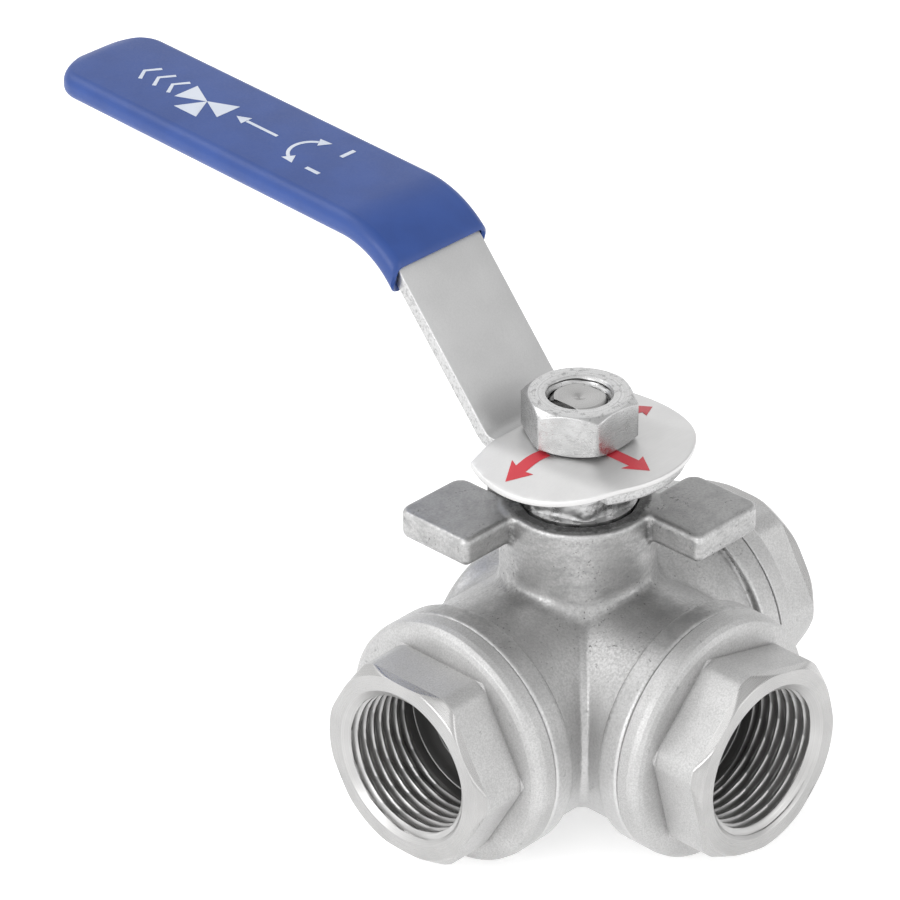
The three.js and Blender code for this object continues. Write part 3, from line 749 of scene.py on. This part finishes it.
def make_stem():
    """Stem: collar, O-ring groove, shaft and threaded double-D stud. The sealed tongue is left out."""
    top, shoulder = STEM_HIGH[2], 38.3
    flat, pitch, stud_r, point_r = 3.5, 1.5, 5, 4.2
    shaft_r, collar_r, collar_low, collar_high = 5.9, 7.6, 16.7, 18.9
    groove_r, groove_low, groove_high = 4.65, 20.7, 22
    axis_r, dimple_r = 0.02, 1.2
    corners = [[axis_r, collar_low, 0], [collar_r, collar_low, 0.4], [collar_r, collar_high, 0.3],
               [shaft_r, collar_high, 0.1], [shaft_r, groove_low, 0.1], [groove_r, groove_low, 0.1],
               [groove_r, groove_high, 0.1], [shaft_r, groove_high, 0.1], [shaft_r, shoulder, 0.3],
               [stud_r, shoulder, 0.05], [stud_r, top - 0.9, 0.1], [point_r, top, 0.25],
               [dimple_r, top - 0.12, 0], [axis_r, top - 0.5, 0]]
    profile = refined(rounded_profile(corners), 0.17, shoulder + 0.2, top - 0.2)

    def shape(radius, height, angle):
        in_stud = (height > shoulder + 0.05) & (radius > 0.5)
        threaded = np.minimum(radius, screw_radius(height, angle, pitch, stud_r, 0.75))
        side = flat / np.maximum(np.abs(np.cos(angle)), 1e-3)
        return np.where(in_stud, smooth_min(threaded, side, 0.12), radius)

    obj = add_turned("stem_turned", profile, 144, shape, TURNED[2])
    place(obj, "handle", "turned_steel", "stem")


def make_stem_nut():
    """M10 nut: chamfered top and bottom, with its thread."""
    bottom, top = NUT_LOW[2], NUT_HIGH[2]
    flats = NUT_HIGH[1] - NUT_LOW[1]
    corner_r = flats / math.sqrt(3)
    face_r, bore = 8.4, 5.12
    drop = (corner_r - face_r) * math.tan(math.radians(32))
    corners = [[bore + 0.5, bottom, 0.1], [face_r - 0.3, bottom, 0.2], [corner_r, bottom + drop, 0.1],
               [corner_r, top - drop, 0.1], [face_r, top, 0.35], [bore + 0.5, top, 0.15],
               [bore, top - 0.6, 0], [bore, bottom + 0.5, 0]]
    profile = refined(rounded_profile(corners), 0.2, bottom - 0.1, top - 0.05)

    def shape(radius, height, angle):
        outside = radius > bore + 0.55
        flat_side = smooth_min(radius, hex_radius(angle, flats, 90, 0.3), 0.22)
        thread = np.maximum(radius, screw_radius(height + 0.4, angle, 1.5, bore + 0.5, 0.5))
        return np.where(outside, flat_side, np.where(radius < bore + 0.45, thread, radius))

    obj = add_turned("stem_nut_turned", profile, 216, shape, NUT_STEEL)
    place(obj, "handle", "turned_steel", "stem_nut")


# -------- lever, grip, disc and stop plate
LEVER_THICK = 2.4
LEVER_MID = LEVER_LOW[2] + LEVER_THICK / 2
LEVER_SLOPE = math.radians(49.7)
FOLD_Y = 11.9
FOLD_R, CROOK_R = 3.0, 17.0
HANDLE_Y, HANDLE_Z = 70.0, 72.8
HANDLE_RISE = math.radians(2.8)
TIP_R = 17.0
GRIP_HALF_THICK = 2.4


class LeverPath:
    """The lever's mid line: base, fold, sloping arm, crook and gently rising handle."""

    def __init__(self):
        steep, rise = math.tan(LEVER_SLOPE), math.tan(HANDLE_RISE)
        crook_y = (HANDLE_Z - rise * HANDLE_Y - LEVER_MID + steep * FOLD_Y) / (steep - rise)
        fold_reach = FOLD_R * math.tan(LEVER_SLOPE / 2)
        crook_reach = CROOK_R * math.tan((LEVER_SLOPE - HANDLE_RISE) / 2)
        self.arm = (crook_y - FOLD_Y) / math.cos(LEVER_SLOPE) - fold_reach - crook_reach
        self.base_end = FOLD_Y - fold_reach
        self.fold_end = self.base_end + FOLD_R * LEVER_SLOPE
        self.arm_end = self.fold_end + self.arm
        self.crook_end = self.arm_end + CROOK_R * (LEVER_SLOPE - HANDLE_RISE)
        self.handle_start = crook_y + crook_reach * math.cos(HANDLE_RISE)

    def length_at(self, y):
        """How far along the mid line a point of the handle lies."""
        return self.crook_end + (y - self.handle_start) / math.cos(HANDLE_RISE)

    def bend(self, flat):
        """Bends points of [across, along, above] out of the flat to their place on the lever."""
        across, along, above = flat.T
        fold = np.clip((along - self.base_end) / FOLD_R, 0, LEVER_SLOPE)
        crook = np.clip((along - self.arm_end) / CROOK_R, 0, LEVER_SLOPE - HANDLE_RISE)
        slope = fold - crook
        base = np.minimum(along, self.base_end)
        arm = np.clip(along - self.fold_end, 0, self.arm)
        handle = np.maximum(along - self.crook_end, 0)
        y = base + FOLD_R * np.sin(fold) + arm * math.cos(LEVER_SLOPE)
        z = LEVER_MID + FOLD_R * (1 - np.cos(fold)) + arm * math.sin(LEVER_SLOPE)
        y += CROOK_R * (math.sin(LEVER_SLOPE) - np.sin(LEVER_SLOPE - crook))
        z += CROOK_R * (np.cos(LEVER_SLOPE - crook) - math.cos(LEVER_SLOPE))
        y += handle * math.cos(HANDLE_RISE)
        z += handle * math.sin(HANDLE_RISE)
        return np.stack([across, y - above * np.sin(slope), z + above * np.cos(slope)], 1)


PATH = LeverPath()


def arc_points(centre, radius, start, end, steps):
    """Points of an arc, both ends included, angles in degrees."""
    angles = np.radians(np.linspace(start, end, steps + 1))
    return [(centre[0] + radius * math.cos(a), centre[1] + radius * math.sin(a)) for a in angles]


def round_tip(half, tip, corner_r, steps):
    """The lever's far end from right to left: an arc across it, its two corners rounded."""
    corner_x = half - corner_r
    to_corner = math.sqrt((TIP_R - corner_r) ** 2 - corner_x ** 2)
    meets = math.degrees(math.atan2(to_corner, corner_x))
    corner_y = tip - TIP_R + to_corner
    return (arc_points((corner_x, corner_y), corner_r, 0, meets, steps)
            + arc_points((0, tip - TIP_R), TIP_R, meets, 180 - meets, steps * 2)
            + arc_points((-corner_x, corner_y), corner_r, 180 - meets, 180, steps))


def key_outline():
    """The double-D hole that fits the stud, anticlockwise."""
    radius, flat = 5.25, 3.75
    corner = math.degrees(math.acos(flat / radius))
    return (arc_points((0, 0), radius, corner, 180 - corner, 16)
            + arc_points((0, 0), radius, 180 + corner, 360 - corner, 16))


def plate_mesh(name, outlines, thick, edge, step, cut_axis=1):
    """A flat plate with rounded edges: outlines in millimetres, sliced so that it can be bent."""
    curve = bpy.data.curves.new(name, "CURVE")
    curve.dimensions = "2D"
    curve.fill_mode = "BOTH"
    curve.extrude = (thick / 2 - edge) * MM
    curve.bevel_depth = edge * MM
    curve.bevel_resolution = 2
    curve.offset = -edge * MM
    for outline in outlines:
        spline = curve.splines.new("POLY")
        spline.points.add(len(outline) - 1)
        spline.points.foreach_set("co", [c for x, y in outline for c in (x * MM, y * MM, 0, 1)])
        spline.use_cyclic_u = True
    holder = linked(name + "_outline", curve)
    bpy.context.view_layer.update()
    mesh = bpy.data.meshes.new_from_object(holder.evaluated_get(bpy.context.evaluated_depsgraph_get()))
    bpy.data.objects.remove(holder)
    bpy.data.curves.remove(curve)
    bm = bmesh.new()
    bm.from_mesh(mesh)
    bpy.data.meshes.remove(mesh)
    bmesh.ops.remove_doubles(bm, verts=bm.verts, dist=1e-6)
    low = min(v.co[cut_axis] for v in bm.verts)
    high = max(v.co[cut_axis] for v in bm.verts)
    normal = Vector((0, 0, 0))
    normal[cut_axis] = 1
    for at in np.arange(low + step * MM, high, step * MM):
        everything = bm.verts[:] + bm.edges[:] + bm.faces[:]
        bmesh.ops.bisect_plane(bm, geom=everything, plane_co=normal * at, plane_no=normal, dist=1e-7)
    bmesh.ops.recalc_face_normals(bm, faces=bm.faces)
    return bm


def finish_plate(name, bm, bend, materials, edge_material=None):
    """Bends a sliced plate and makes it an object. Steep faces may take an edge material."""
    if edge_material is not None:
        for face in bm.faces:
            if abs(face.normal.z) < 0.5:
                face.material_index = edge_material
    flat = np.array([v.co for v in bm.verts]) / MM
    for vert, bent in zip(bm.verts, bend(flat) * MM):
        vert.co = bent
    mesh = bpy.data.meshes.new(name)
    bm.to_mesh(mesh)
    bm.free()
    finish_mesh(mesh, materials, CREASE)
    return linked(name, mesh)


def make_lever():
    """The cranked lever, bent from a flat strip with sheared edges."""
    half = (LEVER_HIGH[0] - LEVER_LOW[0]) / 2
    end_r = -LEVER_LOW[1]
    corner = math.degrees(math.acos(half / end_r))
    tip = round_tip(half, PATH.length_at(LEVER_HIGH[1]), 4, 8)
    outline = arc_points((0, 0), end_r, 180 + corner, 360 - corner, 24) + tip
    bm = plate_mesh("lever", [outline, key_outline()], LEVER_THICK, 0.3, 1.0)
    obj = finish_plate("lever_strip", bm, PATH.bend, [LEVER_STEEL, EDGE_STEEL], 1)
    place(obj, "handle", "lever_steel", "handle_lever")


def grip_rings(start, tip, half_width, half_thick, side_round, corner_r):
    """Rings of [across, along, above] round a sleeve, whose far end closes with a soft round edge."""
    outline = round_tip(half_width, tip, corner_r, 10)
    side = outline[0][1]
    plan = np.array([(x, y) for x, y in outline if x >= 0][::-1])
    straight = np.linspace(start, side, 96, endpoint=False)
    ends = side + (tip - side) * np.sin(np.linspace(0, math.pi / 2, 22))
    around = np.linspace(0, TURN, 72, endpoint=False)
    across, above = np.cos(around), np.sin(around)
    box_x = np.clip(across * 40, -1, 1)
    box_z = np.clip(above * 6, -1, 1)
    tip_share = 0.3
    rings = []
    for along in np.concatenate([straight, ends]):
        width = half_width if along <= side else np.interp(-along, -plan[:, 1], plan[:, 0])
        to_tip = np.clip(1 - (tip - along) / (half_thick * 1.4), 0, 1)
        thick = half_thick * (tip_share + (1 - tip_share) * math.sqrt(1 - to_tip ** 2))
        corner = min(side_round, thick, max(width, 0.3))
        rings.append(np.stack([box_x * max(width - corner, 0) + corner * across,
                               np.full_like(across, along),
                               box_z * (thick - corner) + corner * above], 1))
    return rings


def make_grip():
    """Dip moulded sleeve: a soft shell round the lever, open at its lower end."""
    half_width = (GRIP_HIGH[0] - GRIP_LOW[0]) / 2
    start = PATH.fold_end + (GRIP_LOW[1] - FOLD_Y) / math.cos(LEVER_SLOPE)
    gap = 0.3
    room_width, room_thick = (LEVER_HIGH[0] - LEVER_LOW[0]) / 2 + gap, LEVER_THICK / 2 + gap
    outer = grip_rings(start, PATH.length_at(GRIP_HIGH[1]), half_width, GRIP_HALF_THICK, 2.2, 4.5)
    inner = grip_rings(start, PATH.length_at(LEVER_HIGH[1]) + gap, room_width, room_thick, 0.6, 4)
    lip = outer[0] * 0.55 + inner[0] * 0.45
    lip[:, 1] = start - 0.35
    slant, fade = 0.7, 12.0
    rings = inner[::-1] + [lip] + outer
    for ring in rings:
        ring[:, 1] += slant * ring[:, 2] * np.clip(1 - (ring[:, 1] - start) / fade, 0, 1)
    count, last = len(outer[0]), len(rings) - 1
    faces = np.concatenate([band((i + 1) * count, i * count, count) for i in range(last)]).tolist()
    faces.append(list(range(count)))
    faces.append([last * count + j for j in reversed(range(count))])
    obj = add_mesh("grip_vinyl", PATH.bend(np.concatenate(rings)), faces, [VINYL], 50)
    place(obj, "handle", "vinyl", "grip_sleeve")


DISC_THICK = 1.0
DISC_R = DISC_HIGH[0]
DISC_BASE = DISC_HIGH[2] - DISC_THICK / 2
DISC_FLAT = 9.5
DISC_DROOP = (math.radians(20), math.radians(11.5))
DISC_SKEW = math.radians(5)


def bend_disc(flat):
    """Presses the two sides of the flat disc down a little, along lines slightly off square."""
    across, along, above = flat.T
    outward = across * math.cos(DISC_SKEW) + along * math.sin(DISC_SKEW)
    out = np.maximum(np.abs(outward) - DISC_FLAT, 0)
    slope = np.where(outward < 0, *DISC_DROOP)
    soft = 3.0
    drop = np.where(out < soft, out ** 2 / (2 * soft), out - soft / 2) * np.tan(slope)
    inward = out * (1 - np.cos(slope * np.minimum(out / soft, 1)))
    return np.stack([across - np.sign(across) * inward, along, DISC_BASE + above - drop], 1)


def make_disc():
    """The thin direction disc, cut straight beside the lever's fold."""
    chord = DISC_HIGH[1]
    corner = math.degrees(math.asin(chord / DISC_R))
    outline = arc_points((0, 0), DISC_R, 180 - corner, 360 + corner, 120)
    bm = plate_mesh("disc", [outline, key_outline()], DISC_THICK, 0.2, 0.9, cut_axis=0)
    obj = finish_plate("disc_sheet_metal", bm, bend_disc, [DISC_STEEL])
    place(obj, "handle", "disc_steel", "direction_disc")


def print_on(name, shapes, bend, material, slot, cut_axis):
    """Thin printed marks: closed outlines laid on a surface and bent with it."""
    ink = 0.05
    bm = plate_mesh(name, shapes, ink, ink * 0.2, 0.6, cut_axis)
    obj = finish_plate(name, bm, bend, [material])
    place(obj, "handle", slot)


def laid(outline, degrees, at):
    """A flat outline, turned about the origin and then moved."""
    c, s = math.cos(math.radians(degrees)), math.sin(math.radians(degrees))
    return [(at[0] + c * x - s * y, at[1] + s * x + c * y) for x, y in outline]


def make_arrows():
    """Three red arrows on the disc, towards the three ports, each printed a little off square."""
    head, shaft, tail, neck, barb, tip = 2.6, 1.15, 7.4, 12.9, 12.5, 16.3
    arrow = [(tail, -shaft), (neck, -shaft), (barb, -head), (tip, 0),
             (barb, head), (neck, shaft), (tail, shaft)]
    places = ((-6, (-0.1, 0)), (173, (-1.05, -1.3)), (270, (-1.1, 0)))
    shapes = [laid(arrow, degrees, at) for degrees, at in places]
    lift = [0, 0, DISC_THICK / 2 + 0.04]
    print_on("printed_arrows", shapes, lambda flat: bend_disc(flat + lift),
             RED_PRINT, "disc_steel", 0)


def ribbon(points, half):
    """The outline of a stroke along some points, its ends cut square."""
    line = np.array(points, float)
    step = np.gradient(line, axis=0)
    side = np.stack([-step[:, 1], step[:, 0]], 1) / np.linalg.norm(step, axis=1)[:, None] * half
    return [tuple(p) for p in np.concatenate([line + side, (line - side)[::-1]])]


def triangle(tip, heading, length, half):
    """A filled arrow head or symbol wing with its point at tip, heading in degrees."""
    return laid(((0, 0), (-length, half), (-length, -half)), heading, tip)


def make_grip_marks():
    """Symbols on the grip: a valve, chevrons, a flow arrow, and a turn arrow with two marks."""
    middle = PATH.length_at(86)
    wing, half = 5.2, 2.7
    shapes = [triangle((0, middle), heading, wing, half) for heading in (0, 90, 270)]
    chevron_half, chevron_drop = 2.6, 1.6
    for along in (8.5, 12, 15.5):
        tip = middle + along
        sides = [(-chevron_half, tip - chevron_drop), (0, tip), (chevron_half, tip - chevron_drop)]
        shapes.append(ribbon(sides, 0.35))
    shapes.append(ribbon([(0, middle - 17), (0, middle - 9.7)], 0.32))
    shapes.append(triangle((0, middle - 7.2), 90, 2.4, 1.3))
    hub, sweep_r, sweep_end, head = middle - 25.5, 4.2, 32, 2.3
    shapes.append(ribbon(arc_points((0, hub), sweep_r, sweep_end, 180 - sweep_end, 18), 0.32))
    c, s = math.cos(math.radians(sweep_end)), math.sin(math.radians(sweep_end))
    end_x, end_y = sweep_r * c, sweep_r * s
    lean_x, lean_y = head * s, head * c
    for side in (1, -1):
        tip = (side * (end_x + lean_x), hub + end_y - lean_y - 0.05)
        shapes.append(triangle(tip, 270 + side * sweep_end, head, 1.2))
    shapes.append(ribbon([(-sweep_r, hub - 5.6), (-sweep_r, hub - 2.6)], 0.4))
    shapes.append(ribbon([(sweep_r - 1.6, hub - 4), (sweep_r + 1.6, hub - 4)], 0.4))
    lift = [0, 0, GRIP_HALF_THICK + 0.03]
    print_on("grip_marks", shapes, lambda flat: PATH.bend(flat + lift), PALE_PRINT, "vinyl", 1)


def make_stop_plate():
    """Stop plate: its CAD shape is right, so it only gets worn edges and a finish."""
    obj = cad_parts["travel_stop_plate"]
    bevel = obj.modifiers.new("worn_edges", "BEVEL")
    bevel.width = 0.35 * MM
    bevel.segments = 3
    bevel.limit_method = "ANGLE"
    bevel.angle_limit = math.radians(CREASE)
    obj.data.materials.clear()
    obj.data.materials.append(LEVER_STEEL)


INNER_FINISHES = {"seat_": PTFE, "body_gasket_": PTFE, "packing_ring_": PTFE, "thrust_washer": PTFE,
                  "stem_o_ring": RUBBER, "gland_follower": TURNED[2]}


def finish_inner_nodes():
    """Gives the sealed inner pieces, whose CAD shapes are right, their finishes."""
    for name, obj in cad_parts.items():
        for start, material in INNER_FINISHES.items():
            if name.startswith(start):
                obj.data.materials.clear()
                finish_mesh(obj.data, [material], CREASE)


# -------- stage
def make_floor():
    """A pale floor just under the valve."""
    half = 3.0
    corners = [(-half, -half), (half, -half), (half, half), (-half, half)]
    mesh = bpy.data.meshes.new("floor")
    level = float(cad_box[0][2])
    mesh.from_pydata([(x, y, level) for x, y in corners], [], [[0, 1, 2, 3]])
    obj = linked("floor", mesh)
    made = Finish("floor_paper", Roughness=0.9, Emission_Strength=0.46)
    paper = made.mix(made.noise(40, 2), grey(0.88), grey(0.9))
    for socket in ("Base Color", "Emission Color"):
        made.feed(made.shader.inputs[socket], paper)
    mesh.materials.append(made.material)


def direction(azimuth, elevation):
    """A unit vector from two angles in degrees. Azimuth 0 is -Y and 90 is +X."""
    a, e = math.radians(azimuth), math.radians(elevation)
    return Vector((math.sin(a) * math.cos(e), -math.cos(a) * math.cos(e), math.sin(e)))


def add_light(name, azimuth, elevation, power):
    """A soft light aimed at the valve."""
    distance, aim_height = 0.9, 0.02
    data = bpy.data.lights.new(name, "AREA")
    data.shape = "RECTANGLE"
    data.size, data.size_y = 0.5, 0.4
    data.energy = power
    obj = linked(name, data)
    away = direction(azimuth, elevation) * distance
    obj.location = away + Vector((0, 0, aim_height))
    obj.rotation_euler = (-away).to_track_quat("-Z", "Y").to_euler()


def make_lights():
    add_light("key_left", -88, 25, 2.2)
    add_light("key_back", -153, 48, 1.2)
    add_light("fill_right", 15, 20, 0.8)


def make_world():
    """A white studio with a grey flag high on the right and a slightly greyer ceiling."""
    world = bpy.data.worlds.new("studio")
    bpy.context.scene.world = world
    world.use_nodes = True
    made = Nodes(world.node_tree, "Generated")
    towards_flag = made.node("ShaderNodeVectorMath", {0: made.where, 1: (0.66, -0.26, 0.7)},
                             operation="DOT_PRODUCT")
    flag = made.ramp(towards_flag.outputs["Value"], 0, 0.3, 0.5, 0.95)
    ceiling = made.ramp(made.split(made.where)[2], 0, 0.22, 0.6, 1.0)
    level = made.math("SUBTRACT", made.math("SUBTRACT", 1.0, flag), ceiling)
    background = made.tree.nodes["Background"]
    made.feed(background.inputs[0], level)
    background.inputs[1].default_value = 1.1


def make_camera():
    """The camera at the photograph's view: a long lens from the front left, 30 degrees up."""
    roll, distance, shift_right, shift_up = math.radians(-0.27), 0.77664, 0.02112, -0.0361
    back = direction(-46.12, 29.99)
    right = (-back).cross(Vector((0, 0, 1))).normalized()
    up = right.cross(-back)
    right, up = (right * math.cos(roll) + up * math.sin(roll),
                 up * math.cos(roll) - right * math.sin(roll))
    data = bpy.data.cameras.new("camera")
    data.sensor_width = 36
    data.lens = 186.15
    data.clip_start, data.clip_end = 0.01, 20
    obj = linked("camera", data)
    turn = Matrix((right, up, back)).transposed().to_4x4()
    obj.matrix_world = Matrix.Translation(back * distance - right * shift_right - up * shift_up) @ turn
    bpy.context.scene.camera = obj


# -------- the scene
make_camera()
make_world()
make_lights()
make_floor()
bpy.context.scene.view_settings.view_transform = "Standard"

make_body()
make_cap("left", axis=0, first_flat=0)
make_cap("right", axis=0, first_flat=0)
make_cap("branch", axis=1, first_flat=90 - BRANCH_HEX_TILT)
make_gland_nut()
make_ball()
make_stem()
make_stem_nut()
make_lever()
make_grip()
make_disc()
make_arrows()
make_grip_marks()
make_stop_plate()
finish_inner_nodes()
